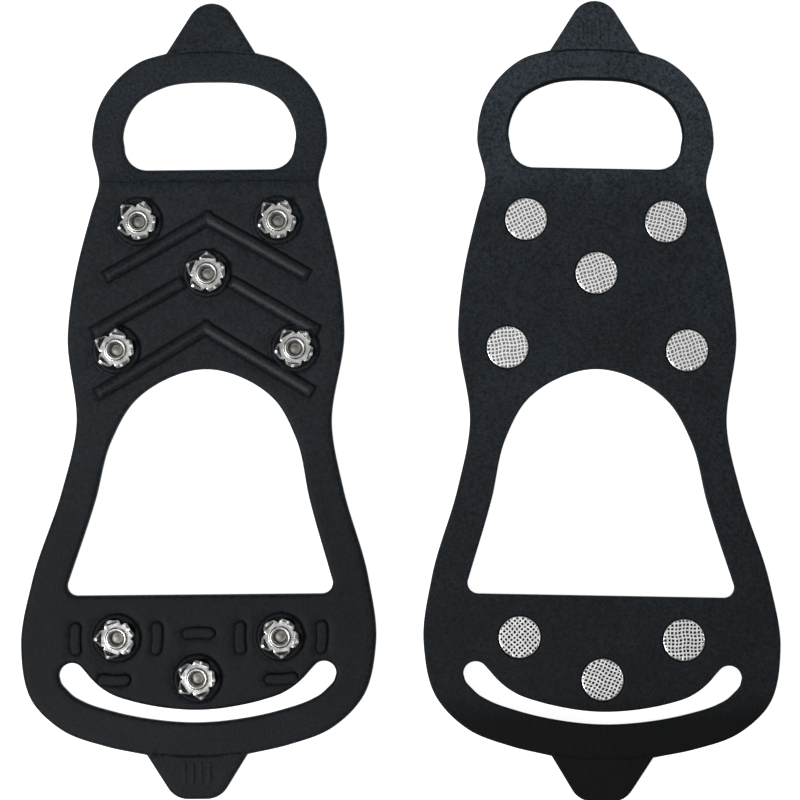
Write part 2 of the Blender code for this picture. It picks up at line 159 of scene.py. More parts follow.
def smooth(points):
    """A smooth line through the points, its slopes weighted by the neighbouring chords."""
    knots = np.array(points, float)
    chords = np.linalg.norm(np.diff(knots, axis=0), axis=1)[:, None]
    rates = np.diff(knots, axis=0) / chords
    inner = (rates[:-1] * chords[1:] + rates[1:] * chords[:-1]) / (chords[:-1] + chords[1:])
    slopes = np.vstack([rates[:1], inner, rates[-1:]])
    for end in (0, -1):
        if abs(knots[end, 0]) < 1e-6:
            slopes[end] = (math.copysign(1.0, slopes[end, 0]), 0.0)
    line = []
    for i, chord in enumerate(chords[:, 0]):
        steps = max(2, round(chord / EDGE_STEP))
        for t in np.arange(steps) / steps:
            line.append(
                (2 * t ** 3 - 3 * t ** 2 + 1) * knots[i] + (t ** 3 - 2 * t ** 2 + t) * chord * slopes[i]
                + (3 * t ** 2 - 2 * t ** 3) * knots[i + 1] + (t ** 3 - t ** 2) * chord * slopes[i + 1])
    return line + [knots[-1]]


def arc(centre, radius, start, stop):
    length = abs(math.radians(stop - start)) * radius
    turns = np.radians(np.linspace(start, stop, max(3, round(length / EDGE_STEP) + 1)))
    return [np.array(centre) + radius * np.array((math.cos(a), math.sin(a))) for a in turns]


def point_at(line, height):
    for a, b in zip(line, line[1:]):
        if min(a[1], b[1]) <= height <= max(a[1], b[1]) and a[1] != b[1]:
            return a + (b - a) * (height - a[1]) / (b[1] - a[1])
    raise ValueError("the line does not reach that height")


def stretch(line, y_from, y_to):
    """The part of a line between two heights, run from the first to the second."""
    low, high = sorted((y_from, y_to))
    inner = [point for point in line if low + 0.01 < point[1] < high - 0.01]
    if (line[0][1] > line[-1][1]) != (y_from > y_to):
        inner.reverse()
    return [point_at(line, y_from)] + inner + [point_at(line, y_to)]


def centre_point(height):
    return [np.array((0.0, height))]


def section_halves():
    """Half the outline of each rubber section, from the sole's middle line out and back to it."""
    outer = smooth(OUTER_EDGE)
    toe_opening = smooth(TOE_OPENING_EDGE)[:-1] + arc(**TOE_OPENING_CORNER)
    arch = smooth(ARCH_EDGE)
    arch_corner = arc(**ARCH_CORNER)
    slot_inner = smooth(SLOT_INNER_EDGE)
    slot_outer = smooth(SLOT_OUTER_EDGE)
    toe_floor = toe_opening[-1][1]
    heel_tip = HEEL_TAB_TIP["centre"][1] - HEEL_TAB_TIP["radius"]
    return {
        "toe_tab": arc(**TOE_TAB_TIP) + [np.array(OUTER_EDGE[0])] + centre_point(TOE_TAB_FOLD),
        "toe_band": (
            centre_point(TOE_TAB_FOLD)
            + stretch(outer, TOE_TAB_FOLD, TOE_BAND_FOLD)
            + stretch(toe_opening, TOE_BAND_FOLD, toe_opening[0][1])),
        "forefoot": (
            centre_point(toe_floor)
            + stretch(toe_opening, toe_floor, TOE_BAND_FOLD)
            + stretch(outer, TOE_BAND_FOLD, ARCH_FOLD)
            + stretch(arch, ARCH_FOLD, arch[0][1])),
        "heel": (
            centre_point(arch_corner[-1][1])
            + arch_corner[::-1]
            + stretch(arch, arch[-1][1], ARCH_FOLD)[1:]
            + stretch(outer, ARCH_FOLD, HEEL_BAND_FOLD)
            + arc(**SLOT_END)
            + slot_inner[1:]),
        "heel_band": (
            slot_outer[::-1]
            + stretch(outer, HEEL_BAND_FOLD, HEEL_TAB_FOLD)
            + centre_point(HEEL_TAB_FOLD)),
        "heel_tab": (
            centre_point(HEEL_TAB_FOLD)
            + [np.array(OUTER_EDGE[-1])]
            + arc(**HEEL_TAB_TIP)
            + centre_point(heel_tip)),
    }


def fold_of(a, b):
    """The fold line that both points lie on, or None."""
    for fold in FOLDS:
        if abs(a[1] - fold) < 1e-3 and abs(b[1] - fold) < 1e-3:
            return fold
    return None


def cut_samples(a, b):
    """Points between a and b on a fold line, closer together beside the sole's edges."""
    width = abs(b[0] - a[0])
    spots = {0.0, width}
    for end, forward in ((a, True), (b, False)):
        if abs(end[0]) > 1e-6:
            for ring in RIM_RINGS:
                spots.add(ring if forward else width - ring)
    spots = sorted(spots)
    full = []
    for low, high in zip(spots, spots[1:]):
        parts = max(1, math.ceil((high - low) / 1.0))
        full += [low + (high - low) * i / parts for i in range(parts)]
    way = math.copysign(1.0, b[0] - a[0])
    return [np.array((a[0] + way * s, a[1])) for s in full]


def closed_loop(half):
    """The whole outline of a section, with its long straights divided."""
    other = [np.array((-p[0], p[1])) for p in reversed(half) if abs(p[0]) > 1e-6]
    corners = half + other
    kept = [p for i, p in enumerate(corners) if np.linalg.norm(p - corners[i - 1]) > 1e-3]
    loop = []
    for a, b in zip(kept, kept[1:] + kept[:1]):
        if fold_of(a, b) is not None:
            loop += cut_samples(a, b)
        else:
            parts = max(1, round(np.linalg.norm(b - a) / EDGE_STEP))
            loop += [a + (b - a) * i / parts for i in range(parts)]
    return np.array(loop)


def circle(centre, radius, count):
    turns = np.arange(count) * math.tau / count
    return np.array(centre) + radius * np.stack([np.cos(turns), np.sin(turns)], 1)


# -------- distances

SQUARE = 7.0


def distance(points, starts, ends):
    """How far each point is from the nearest of some segments."""
    along = ends - starts
    lengths = np.maximum((along ** 2).sum(1), 1e-12)
    nearest = np.empty(len(points))
    for low in range(0, len(points), 2000):
        part = points[low:low + 2000, None, :] - starts[None]
        t = np.clip((part * along).sum(2) / lengths, 0, 1)
        nearest[low:low + 2000] = np.sqrt(((part - t[..., None] * along) ** 2).sum(2).min(1))
    return nearest


def bar_distance(points, starts, ends):
    """Like distance, for bars whose ends are nearly square."""
    nearest = np.full(len(points), 1e9)
    for start, end in zip(starts, ends):
        length = np.linalg.norm(end - start)
        along = (end - start) / length
        part = points - start
        reach = part @ along
        over = np.maximum(np.maximum(-reach, reach - length), 0)
        beside_it = np.abs(part[:, 0] * along[1] - part[:, 1] * along[0])
        nearest = np.minimum(nearest, (beside_it ** SQUARE + over ** SQUARE) ** (1 / SQUARE))
    return nearest


def inside(points, loops):
    """Which points lie inside an odd number of the loops."""
    count = np.zeros(len(points), int)
    x, y = points[:, 0, None], points[:, 1, None]
    for loop in loops:
        a, b = loop, np.roll(loop, -1, axis=0)
        spans = (a[:, 1] > y) != (b[:, 1] > y)
        rise = np.where(b[:, 1] == a[:, 1], 1e-9, b[:, 1] - a[:, 1])
        crossing = a[:, 0] + (y - a[:, 1]) * (b[:, 0] - a[:, 0]) / rise
        count += (spans & (x < crossing)).sum(1)
    return count % 2 == 1


def true_edges(loops):
    """The start and end points of every edge that isn't on a fold line."""
    starts, ends = [], []
    for loop in loops:
        for a, b in zip(loop, np.roll(loop, -1, axis=0)):
            if fold_of(a, b) is None:
                starts.append(a)
                ends.append(b)
    return np.array(starts), np.array(ends)


LOOPS = {name: closed_loop(half) for name, half in section_halves().items()}
EDGES = true_edges(LOOPS.values())
TOE_OPENING_HALF = smooth(TOE_OPENING_EDGE)[:-1] + arc(**TOE_OPENING_CORNER)
TOE_OPENING = np.array(TOE_OPENING_HALF + [p * (-1, 1) for p in reversed(TOE_OPENING_HALF)])
TOE_OPENING_EDGES = (TOE_OPENING, np.roll(TOE_OPENING, -1, axis=0))


def rib_lines():
    """The middle lines of the chevron ribs, both sides of the sole."""
    lines = []
    for start, stop in CHEVRONS:
        start, stop = np.array(start), np.array(stop)
        along = (stop - start) / np.linalg.norm(stop - start)
        first = start if start[0] == 0.0 else start + along * RIB_HALF_WIDTH
        last = stop - along * RIB_HALF_WIDTH
        for side in (1, -1):
            lines.append((first * (side, 1), last * (side, 1)))
    return lines


def block_lines():
    """The middle lines of the heel blocks: short arcs bent round their stud."""
    lines = []
    for centre, stud in BLOCKS.items():
        centre = np.array(centre)
        inward = np.array(STUDS[stud]) - centre
        inward = inward / np.linalg.norm(inward)
        across = np.array((-inward[1], inward[0]))
        reach = BLOCK_LENGTH / 2 - BLOCK_HALF_WIDTH
        turns = np.linspace(-reach, reach, 7) / BLOCK_BEND_RADIUS
        rise = BLOCK_BEND_RADIUS * (1 - np.cos(turns))
        line = centre + across * (BLOCK_BEND_RADIUS * np.sin(turns))[:, None] + inward * rise[:, None]
        lines.append(line - inward * rise.mean())
    return lines


RIBS = rib_lines()
BLOCK_LINES = block_lines()
BARS_ACROSS = (-3.6, -1.2, 1.2, 3.6)
BAR_LINES = {
    "toe": [(np.array((x, 103.4 + abs(x) * 0.1)), np.array((x, 109.6 - abs(x) * 0.35))) for x in BARS_ACROSS],
    "heel": [(np.array((x, -104.8)), np.array((x, -110.4 + abs(x) * 0.2))) for x in BARS_ACROSS],
}


def segments_of(lines):
    starts = np.vstack([np.array(line[:-1]) for line in lines])
    ends = np.vstack([np.array(line[1:]) for line in lines])
    return starts, ends


# -------- heights

def ramp(value, low, high):
    t = np.clip((value - low) / (high - low), 0, 1)
    return t * t * (3 - 2 * t)


def smooth_max(a, b, reach):
    near = np.maximum(reach - np.abs(a - b), 0) / reach
    return np.maximum(a, b) + near * near * reach / 4


def rounding(edge_distance, radius):
    """How far a rounded rim drops below its face."""
    gap = radius - np.clip(edge_distance, 0, radius)
    return radius - np.sqrt(np.maximum(radius ** 2 - gap ** 2, 0))


def hollow(offset, half_width):
    """A soft furrow: 1 in its middle, 0 beyond its half width."""
    t = np.clip(np.abs(offset) / half_width, 0, 1)
    return (1 - t * t) ** 2


def toe_groove(x):
    return TOE_TAB_FOLD + 0.35 - 0.7 * (x / 12.0) ** 2


def heel_groove(x):
    return HEEL_TAB_FOLD - 0.4 + 0.8 * (x / 13.0) ** 2


def groove_depth(points, edge_distance):
    x, y = points[:, 0], points[:, 1]
    fade = ramp(edge_distance, 0.2, 2.2)
    at_toe = hollow(y - toe_groove(x), 0.42) * (np.abs(y - TOE_TAB_FOLD) < 3)
    at_heel = hollow(y - heel_groove(x), 0.42) * (np.abs(y - HEEL_TAB_FOLD) < 3)
    return 0.34 * fade * (at_toe + at_heel)


def boss_height(radius):
    """A boss: a dished top, a rounded rim and a fillet at its root."""
    flat = BOSS_RADIUS - BOSS_ROUNDING
    foot = BOSS_RADIUS + BOSS_FILLET
    low = BOSS_TOP - BOSS_ROUNDING_DROP
    over = np.clip(radius - flat, 0, BOSS_ROUNDING) / BOSS_ROUNDING
    under = np.clip(foot - radius, 0, BOSS_FILLET) / BOSS_FILLET
    top = BOSS_TOP - 0.3 * (1 - ramp(radius, 4.9, 6.0))
    rim = low + BOSS_ROUNDING_DROP * np.sqrt(np.maximum(1 - over ** 2, 0))
    root = SHEET + (low - SHEET) * (1 - np.sqrt(np.maximum(1 - under ** 2, 0)))
    return np.where(radius < flat, top, np.where(radius < BOSS_RADIUS, rim, root))


def tread_height(points):
    """How high the tread side is at each point, with its step, bosses, ribs, blocks and grip bars."""
    x, y = points[:, 0], points[:, 1]
    edge = distance(points, *EDGES)
    height = SHEET - (SHEET - BAND) * ramp(y, STEP_LINE - 0.5, STEP_LINE + 0.6)
    height -= (SHEET - BAND) * ramp(-y, *HEEL_THINNING)
    height -= (BAND - TAB) * ramp(y, TOE_TAB_FOLD - 0.2, TOE_TAB_FOLD + 0.6)
    height -= (BAND - TAB) * ramp(-y, -HEEL_TAB_FOLD - 0.2, -HEEL_TAB_FOLD + 0.6)
    # A faint bead runs inside the rim, and furrows run round the feet of bosses, ribs and blocks.
    height += 0.1 * np.exp(-((edge - 1.9) / 0.6) ** 2) * (edge > 0)
    foot = BOSS_RADIUS + BOSS_FILLET
    for centre in STUDS.values():
        radius = np.hypot(x - centre[0], y - centre[1])
        height = np.where(radius < foot, np.maximum(height, boss_height(radius)), height)
        height = height - FURROW * hollow(radius - foot - 0.25, 0.5)
    rib = bar_distance(points, *segments_of(RIBS))
    rib_share = rib / (RIB_HALF_WIDTH + 0.06)
    rib_top = SHEET - 0.25 + (RIB_HEIGHT + 0.25) * np.sqrt(np.maximum(1 - rib_share ** 2, 0))
    height = smooth_max(height, np.where(rib_share < 1, rib_top, SHEET - 1.0), 0.28)
    height = height - FURROW * hollow(rib - RIB_HALF_WIDTH - 0.25, 0.4)
    block = distance(points, *segments_of(BLOCK_LINES))
    crown = np.sqrt(np.maximum(1 - (np.clip(block - 0.95, 0, 0.65) / 0.65) ** 2, 0))
    height = np.where(block < BLOCK_HALF_WIDTH, np.maximum(height, SHEET + BLOCK_HEIGHT * crown), height)
    height = height - 0.14 * hollow(block - BLOCK_HALF_WIDTH - 0.3, 0.4)
    bars = distance(points, *segments_of(BAR_LINES["heel"]))
    height = height + 0.16 * hollow(bars, 0.55)
    return height - groove_depth(points, edge) - rounding(edge, TOP_RIM)


def sole_height(points):
    """How high the shoe side is at each point, with its rivet seats, toe opening rim and tab panel."""
    x, y = points[:, 0], points[:, 1]
    edge = distance(points, *EDGES)
    height = rounding(edge, SOLE_RIM)
    for centre in STUDS.values():
        radius = np.hypot(x - centre[0], y - centre[1])
        height = np.where(radius < SEAT_RADIUS + 0.01, SEAT_DEPTH, height)
        lip = 0.14 * (1 - np.clip((radius - SEAT_RADIUS) / 0.28, 0, 1)) ** 2
        height = np.where(radius >= SEAT_RADIUS + 0.01, height + lip, height)
    # The toe opening has a sunk margin with a furrow in it, and the grip bars stand in a sunk panel.
    toe = distance(points, *TOE_OPENING_EDGES)
    height = height + 0.10 * (1 - ramp(toe, 1.9, 2.3)) + 0.26 * hollow(toe - 0.62, 0.3)
    bars = distance(points, *segments_of(BAR_LINES["toe"]))
    panel = 1 - ramp(bars, 1.0, 1.5)
    height = height + 0.2 * (panel - hollow(bars, 0.6))
    return height + groove_depth(points, edge) * np.where(y > 0, 1.0, 0.35)


# -------- sample points

def beside(starts, ends, offsets):
    """Points at the given distances from both sides of some edges."""
    real = np.linalg.norm(ends - starts, axis=1) > 0
    starts, ends = starts[real], ends[real]
    along = ends - starts
    across = np.stack([-along[:, 1], along[:, 0]], 1) / np.linalg.norm(along, axis=1)[:, None]
    rows = [starts + across * way * offset for offset in offsets for way in (1, -1)]
    return np.vstack(rows)


def round_line(line, offsets, spacing, measure=distance):
    """Points round a short line at the given distances: the rings of a capsule, or of a square-ended bar."""
    line = np.array(line)
    starts, ends = line[:-1], line[1:]
    rows = []
    for start, end in zip(starts, ends):
        parts = max(1, round(np.linalg.norm(end - start) / spacing))
        along = (end - start) / np.linalg.norm(end - start)
        across = np.array((-along[1], along[0]))
        steps = start + (end - start) * (np.arange(parts + 1) / parts)[:, None]
        for offset in offsets:
            rows += [steps + across * offset, steps - across * offset]
    for tip in (line[0], line[-1]):
        for offset in offsets:
            if offset > 0:
                ring = circle(tip, offset, max(8, round(math.tau * offset / spacing))) - tip
                if measure is bar_distance:
                    sides = np.abs(ring @ np.stack([along, across], 1))
                    ring = ring * (offset / (sides ** SQUARE).sum(1) ** (1 / SQUARE))[:, None]
                rows.append(tip + ring)
    rows = np.vstack(rows)
    reach = measure(rows, starts, ends)
    near = np.abs(reach[:, None] - np.array(offsets)).min(1)
    return rows[near < 0.03]


def tread_features(name):
    """Sample points and their spacing where the tread side of a section has fine shapes."""
    groups = []
    if name in ("forefoot", "heel"):
        for centre in (FOREFOOT_STUDS if name == "forefoot" else HEEL_STUDS).values():
            for radius in (3.4, 4.5):
                groups.append((circle(centre, radius, 36), 0.3))
            for radius in (5.1, 5.6, 5.9, 6.1, 6.35, 6.55, 6.7, 6.8, 6.86, 6.95, 7.1, 7.3, 7.55, 7.85, 8.1):
                groups.append((circle(centre, radius, 72), 0.04))
    if name == "forefoot":
        for line in RIBS:
            groups.append((round_line(line, RIB_RINGS, 0.6, bar_distance), 0.06))
        x = np.arange(-32.0, 32.0, 0.7)
        for shift in (-0.35, -0.2, 0.0, 0.25, 0.4):
            groups.append((np.stack([x, np.full_like(x, STEP_LINE + shift)], 1), 0.1))
    if name == "heel":
        for line in BLOCK_LINES:
            groups.append((round_line(line, BLOCK_RINGS, 0.5), 0.06))
    return groups + tab_features(name, ("heel",))


def sole_features(name):
    """The same for the shoe side."""
    groups = []
    if name in ("forefoot", "heel"):
        for centre in (FOREFOOT_STUDS if name == "forefoot" else HEEL_STUDS).values():
            for radius in (4.2, 5.6):
                groups.append((circle(centre, radius, 36), 0.3))
            for radius in (6.2, SEAT_RADIUS, SEAT_RADIUS + 0.03, 6.38, 6.46, 6.6, 6.9):
                groups.append((circle(centre, radius, 72), 0.02))
    if name in ("forefoot", "toe_band"):
        margins = (0.32, 0.42, 0.52, 0.62, 0.72, 0.82, 0.92, 1.2, 1.6, 1.9, 2.0, 2.1, 2.2, 2.3, 2.6)
        groups.append((beside(*TOE_OPENING_EDGES, margins), 0.05))
    return groups + tab_features(name, ("toe",))


def tab_features(name, barred):
    """The same for the grooves beside the tabs and the grip bars of the barred tabs."""
    groups = []
    for tab, groove, fold in (("toe", toe_groove, TOE_TAB_FOLD), ("heel", heel_groove, HEEL_TAB_FOLD)):
        if name in (tab + "_tab", tab + "_band"):
            x = np.arange(-15.0, 15.0, 0.7)
            for shift in (0.0, 0.14, -0.14, 0.28, -0.28, 0.42, -0.42, 0.7, -0.7):
                groups.append((np.stack([x, groove(x) + shift], 1), 0.08))
        if name == tab + "_tab" and tab in barred:
            for line in BAR_LINES[tab]:
                groups.append((round_line(line, (0.0, 0.2, 0.4, 0.6, 1.0, 1.25, 1.5), 0.6), 0.08))
    return groups


FILL_STEPS = {
    "forefoot": 2.2, "heel": 1.7, "toe_band": 1.3, "heel_band": 1.3, "toe_tab": 1.1, "heel_tab": 1.1}


def fill_points(loop, spacing):
    low, high = loop.min(0), loop.max(0)
    rows = []
    for i, y in enumerate(np.arange(low[1], high[1], spacing * math.sqrt(0.75))):
        x = np.arange(low[0] + (i % 2) * spacing / 2, high[0], spacing)
        rows.append(np.stack([x, np.full_like(x, y)], 1))
    return np.vstack(rows)


def thinned(fixed, groups):
    """The fixed points, then those of each group that keep its spacing from all before them."""
    cell = 0.4
    grid = {}
    kept = []

    def add(x, y):
        grid.setdefault((math.floor(x / cell), math.floor(y / cell)), []).append((x, y))
        kept.append((x, y))

    for x, y in fixed:
        add(x, y)
    for points, spacing in groups:
        reach = math.ceil(spacing / cell)
        square = spacing ** 2
        for x, y in points.tolist():
            i, j = math.floor(x / cell), math.floor(y / cell)
            clear = True
            for a in range(i - reach, i + reach + 1):
                for b in range(j - reach, j + reach + 1):
                    for px, py in grid.get((a, b), ()):
                        if (x - px) ** 2 + (y - py) ** 2 < square:
                            clear = False
            if clear:
                add(x, y)
    return np.array(kept)


def face_sheet(loops, groups):
    """A flat triangulation of the area between the loops, through the points of the groups."""
    loop_edges = []
    first = 0
    for loop in loops:
        count = len(loop)
        loop_edges += [(first + i, first + (i + 1) % count) for i in range(count)]
        first += count
    fixed = np.vstack(loops)
    starts = np.vstack(loops)
    ends = np.vstack([np.roll(loop, -1, axis=0) for loop in loops])
    usable = []
    for points, spacing in groups:
        points = points[inside(points, loops)]
        if len(points):
            points = points[distance(points, starts, ends) > 0.05]
            usable.append((points, spacing))
    points = thinned(fixed.tolist(), usable)
    made = delaunay_2d_cdt([Vector(p) for p in points], loop_edges, [], 0, 1e-6, True)
    vertices, faces, origins = made[0], made[2], made[3]
    places = [origin[0] for origin in origins]
    if len(vertices) != len(points):
        raise ValueError("the sheet's edges cross")
    triangles = np.array([[places[i] for i in face] for face in faces])
    centres = points[triangles].mean(1)
    return points, triangles[inside(centres, loops)]


def lean_at(y):
    y = np.maximum(y, LEAN_END)
    return LEAN * y + BEND * y * y


def leaned(points):
    """The points shifted sideways by the sole's lean, alike round each stud, whose circles stay round."""
    shift = lean_at(points[:, 1])
    for x, y in STUDS.values():
        near = 1 - ramp(np.hypot(points[:, 0] - x, points[:, 1] - y), 8.2, 14.0)
        shift = shift + (lean_at(y) - shift) * near
    return points + np.stack([shift, np.zeros(len(points))], 1)


# Slots of the rubber faces: all but the first two carry painted light or shade.
TREAD_SIDE, SHOE_SIDE, CROWN_SHADE, RIDGE_HIGHLIGHT, CREVICE_SHADE, WEAK_RIDGE_HIGHLIGHT = 0, 1, 2, 3, 4, 5
CROWN_SHADE_RADIUS = 6.0
RIDGE_HALF_WIDTH = 1.3
# Widths of the bands of painted shade beside the ribs and the blocks.
RIB_CREVICE = 0.5
BLOCK_CREVICE = 0.4


def tread_slots(centres, studs):
    """The material slot of each tread face.

    Painted shade runs in bands along the feet of ribs and blocks, and a painted highlight runs along the
    ribs, weaker on the outer side. The faces under the crowns are painted near-black shade, smooth. The rest
    is bare rubber.
    """
    slots = np.full(len(centres), TREAD_SIDE)
    rib = bar_distance(centres, *segments_of(RIBS))
    block = distance(centres, *segments_of(BLOCK_LINES))
    # painted shade: dark bands beside the feet of ribs and blocks, where their shade falls
    slots[(rib > RIB_HALF_WIDTH) & (rib < RIB_HALF_WIDTH + RIB_CREVICE)] = CREVICE_SHADE
    slots[(block > BLOCK_HALF_WIDTH) & (block < BLOCK_HALF_WIDTH + BLOCK_CREVICE)] = CREVICE_SHADE
    # painted highlight: the rib ridges get a lighter, shinier rubber
    slots[rib < RIDGE_HALF_WIDTH] = RIDGE_HIGHLIGHT
    # painted light: the ridges on the outer side get a weaker painted highlight, as if less lit
    slots[(rib < RIDGE_HALF_WIDTH) & (centres[:, 0] < -0.5)] = WEAK_RIDGE_HIGHLIGHT
    # painted shade: the faces round each stud, under its crown, are painted near-black
    for x, y in studs.values():
        slots[np.hypot(centres[:, 0] - x, centres[:, 1] - y) < CROWN_SHADE_RADIUS] = CROWN_SHADE
    return slots


def shoe_slots(centres):
    """The material slot of each shoe-side face: painted shade along the toe opening's edge, wider at the
    front, and in the toe groove, and a painted highlight on the toe grip bars.
    """
    slots = np.full(len(centres), SHOE_SIDE)
    toe = distance(centres, *TOE_OPENING_EDGES)
    # painted shade: along the toe opening's edge and furrow, wider at the front, and in the toe groove
    slots[toe < 0.3 + 0.75 * ramp(centres[:, 1], 70.0, 86.0)] = CREVICE_SHADE
    slots[np.abs(centres[:, 1] - toe_groove(centres[:, 0])) < 0.22] = CREVICE_SHADE
    # painted highlight: the toe grip bars take the ridges' lighter, shinier rubber
    slots[distance(centres, *segments_of(BAR_LINES["toe"])) < 0.4] = RIDGE_HIGHLIGHT
    return slots


def section_solid(name):
    """A closed mesh of one rubber section: vertices, faces and the faces' material slots."""
    loop = LOOPS[name]
    studs = {"forefoot": FOREFOOT_STUDS, "heel": HEEL_STUDS}.get(name, {})
    loops = [loop] + [circle(centre, HOLE_RADIUS, 32) for centre in studs.values()]
    edges = true_edges([loop])
    fill = (fill_points(loop, FILL_STEPS[name]), FILL_STEPS[name] * 0.7)
    top_rim = (beside(*edges, [ring * TOP_RIM for ring in RIM_RINGS]), 0.06)
    sole_rim = (beside(*edges, [ring * SOLE_RIM for ring in RIM_RINGS]), 0.04)
    top, top_faces = face_sheet(loops, [top_rim] + tread_features(name) + [fill])
    sole, sole_faces = face_sheet(loops, sole_features(name) + [sole_rim, fill])
    vertices = np.vstack([
        np.column_stack([leaned(top), tread_height(top)]),
        np.column_stack([leaned(sole), sole_height(sole)])])
    below = len(top)
    faces = [tuple(face) for face in top_faces.tolist()]
    slots = tread_slots(top[top_faces].mean(1), studs).tolist()
    faces += [tuple(i + below for i in face) for face in sole_faces.tolist()]
    slots += shoe_slots(sole[sole_faces].mean(1)).tolist()
    first = 0
    for ring in loops:
        count = len(ring)
        for i in range(count):
            a, b = first + i, first + (i + 1) % count
            faces.append((a, b, b + below, a + below))
            slots.append(TREAD_SIDE)
        first += count
    return vertices, faces, slots


# -------- materials

def node_material(name):
    material = bpy.data.materials.new(name)
    material.use_nodes = True
    nodes, links = material.node_tree.nodes, material.node_tree.links
    return material, nodes, links, nodes["Principled BSDF"]


def texture_place(nodes, links, stretch_by=(1.0, 1.0, 1.0)):
    where = nodes.new("ShaderNodeTexCoord")
    mapping = nodes.new("ShaderNodeMapping")
    mapping.inputs["Scale"].default_value = stretch_by
    links.new(where.outputs["Object"], mapping.inputs["Vector"])
    return mapping.outputs["Vector"]


def noise(nodes, links, place, scale, detail=2.0, roughness=0.5):
    node = nodes.new("ShaderNodeTexNoise")
    node.inputs["Scale"].default_value = scale
    node.inputs["Detail"].default_value = detail
    node.inputs["Roughness"].default_value = roughness
    links.new(place, node.inputs["Vector"])
    return node.outputs["Fac"]


def ranged(nodes, links, value, low, high, new_low, new_high):
    node = nodes.new("ShaderNodeMapRange")
    node.inputs["From Min"].default_value = low
    node.inputs["From Max"].default_value = high
    node.inputs["To Min"].default_value = new_low
    node.inputs["To Max"].default_value = new_high
    links.new(value, node.inputs["Value"])
    return node.outputs["Result"]


def colour_ramp(nodes, links, value, stops):
    node = nodes.new("ShaderNodeValToRGB")
    ramp_elements = node.color_ramp.elements
    while len(ramp_elements) < len(stops):
        ramp_elements.new(0.5)
    for element, (spot, colour) in zip(ramp_elements, stops):
        element.position = spot
        element.color = (*colour, 1.0)
    links.new(value, node.inputs["Fac"])
    return node.outputs["Color"]


def mixed(nodes, links, factor, a, b, blend="MIX"):
    node = nodes.new("ShaderNodeMix")
    node.data_type = "RGBA"
    node.blend_type = blend
    if hasattr(factor, "links"):
        links.new(factor, node.inputs["Factor"])
    else:
        node.inputs["Factor"].default_value = factor
    colour_sockets = [s for s in node.inputs if s.type == "RGBA"]
    for socket, value in zip(colour_sockets, (a, b)):
        if hasattr(value, "links"):
            links.new(value, socket)
        else:
            socket.default_value = (*value, 1.0)
    return [s for s in node.outputs if s.type == "RGBA"][0]


def added(nodes, links, a, b, weight):
    node = nodes.new("ShaderNodeMath")
    node.operation = "MULTIPLY_ADD"
    links.new(b, node.inputs[0])
    node.inputs[1].default_value = weight
    links.new(a, node.inputs[2])
    return node.outputs["Value"]


def bumped(nodes, links, shader, height, depth, strength=1.0):
    bump = nodes.new("ShaderNodeBump")
    bump.inputs["Strength"].default_value = strength
    bump.inputs["Distance"].default_value = depth
    links.new(height, bump.inputs["Height"])
    links.new(bump.outputs["Normal"], shader.inputs["Normal"])


def multiplied(nodes, links, a, b):
    node = nodes.new("ShaderNodeMath")
    node.operation = "MULTIPLY"
    links.new(a, node.inputs[0])
    links.new(b, node.inputs[1])
    return node.outputs["Value"]


# How light the rubber is painted at places along the sole, as shares of its own tone: painted light that
# lightens it towards the toe, and darker towards the heel end.
PAINTED_LIGHT_SPAN = 120.0
PAINTED_LIGHT_MOST = 3.0
TREAD_PAINTED_LIGHT = (
    (-92.0, 0.74), (-82.0, 0.62), (-50.0, 0.62), (-10.0, 0.92), (55.0, 1.02), (78.0, 1.3), (110.0, 1.32))
SHOE_PAINTED_LIGHT = (
    (-92.0, 0.1), (-84.0, 0.64), (-50.0, 0.78), (0.0, 1.03), (55.0, 1.12), (72.0, 2.15), (96.0, 2.32),
    (104.0, 2.15))


